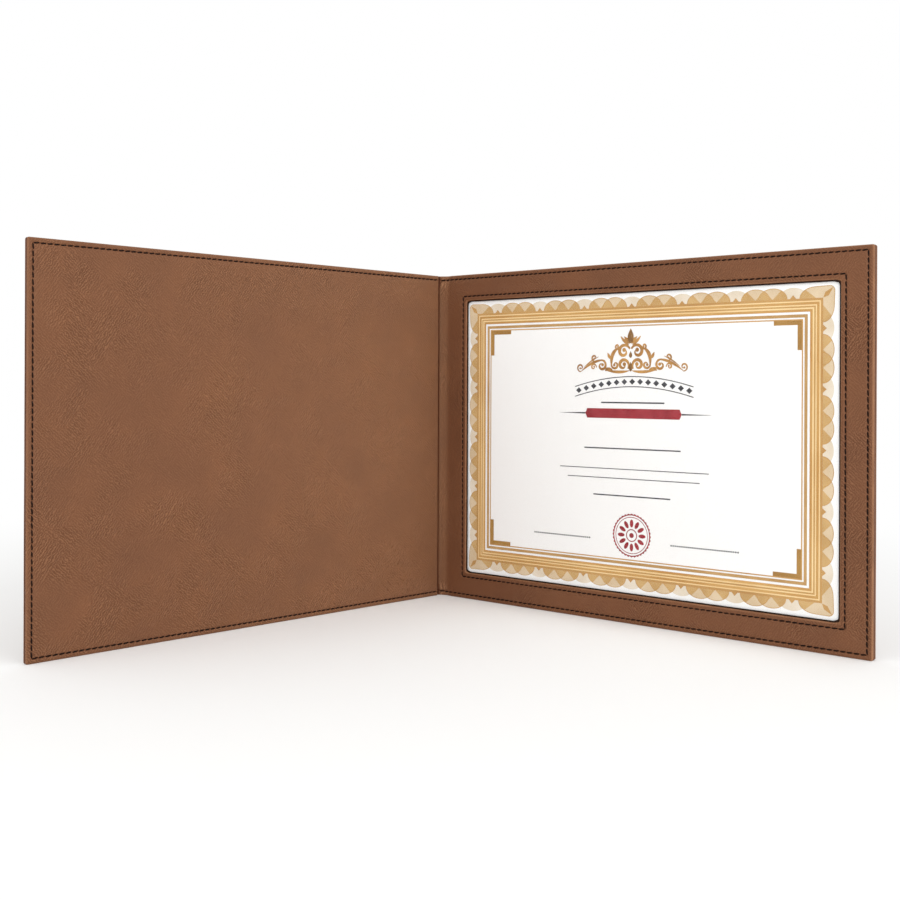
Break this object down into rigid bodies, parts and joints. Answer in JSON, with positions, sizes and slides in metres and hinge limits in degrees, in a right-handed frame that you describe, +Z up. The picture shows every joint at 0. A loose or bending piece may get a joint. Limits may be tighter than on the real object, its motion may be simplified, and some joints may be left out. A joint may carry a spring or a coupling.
{
  "type": "certificate folder",
  "caption": "Folding leatherette certificate folder: two stiff covers on a creased spine, one with a stitched frame and a film-covered pocket for a letter-size sheet.",
  "frame": {"origin": "middle of the folder's box, on the surface that it stands on, with the folder open as in the picture", "axes": "+Z up; +X to the right, across the open folder from the front cover to the back cover; +Y towards the spine, with the insides of the covers facing -Y"},
  "size_m": [0.463, 0.2084, 0.2286],
  "materials": {
    "outer_leatherette": "matte mottled brown leatherette",
    "inner_leatherette": "matte mottled brown leatherette",
    "thread": "dark brown polyester sewing thread",
    "foam": "thin white padding",
    "greyboard": "raw greyboard",
    "card": "raw card",
    "backing_paper": "plain white paper",
    "clear_film": "clear glossy film",
    "certificate_paper": "printed white paper"
  },
  "bodies": {
    "back_cover": {"back_cover_skin": "outer_leatherette", "back_padding": "foam", "back_board": "greyboard", "back_lining": "backing_paper", "window_film": "clear_film", "frame_card": "card", "frame_facing": "inner_leatherette", "window_thread": "thread", "window_bobbin_thread": "thread", "back_edge_thread": "thread", "back_edge_bobbin_thread": "thread"},
    "certificate": {"certificate_sheet": "certificate_paper"},
    "spine": {"spine_skin": "outer_leatherette", "spine_card": "card", "spine_lining": "inner_leatherette", "spine_top_thread": "thread", "spine_bottom_thread": "thread", "spine_top_bobbin_thread": "thread", "spine_bottom_bobbin_thread": "thread"},
    "front_cover": {"front_cover_skin": "outer_leatherette", "front_padding": "foam", "front_board": "greyboard", "front_lining": "inner_leatherette", "front_edge_thread": "thread", "front_edge_bobbin_thread": "thread"}
  },
  "joints": [
    {"name": "back_crease", "type": "hinge", "parent": "spine", "child": "back_cover", "pos_m": [0.00498, 0.10348, 0], "axis": [0, 0, -1], "range_deg": [-42, 48]},
    {"name": "front_crease", "type": "hinge", "parent": "spine", "child": "front_cover", "pos_m": [-0.00498, 0.10348, 0], "axis": [0, 0, 1], "range_deg": [-42, 48]},
    {"name": "certificate_slide", "type": "slide", "parent": "back_cover", "child": "certificate", "axis": [-0.7431, 0.6691, 0], "range_m": [-0.006, 0.01]}
  ],
  "couplings": [
    {"joint": "front_crease", "follows": "back_crease", "ratio": 1}
  ]
}
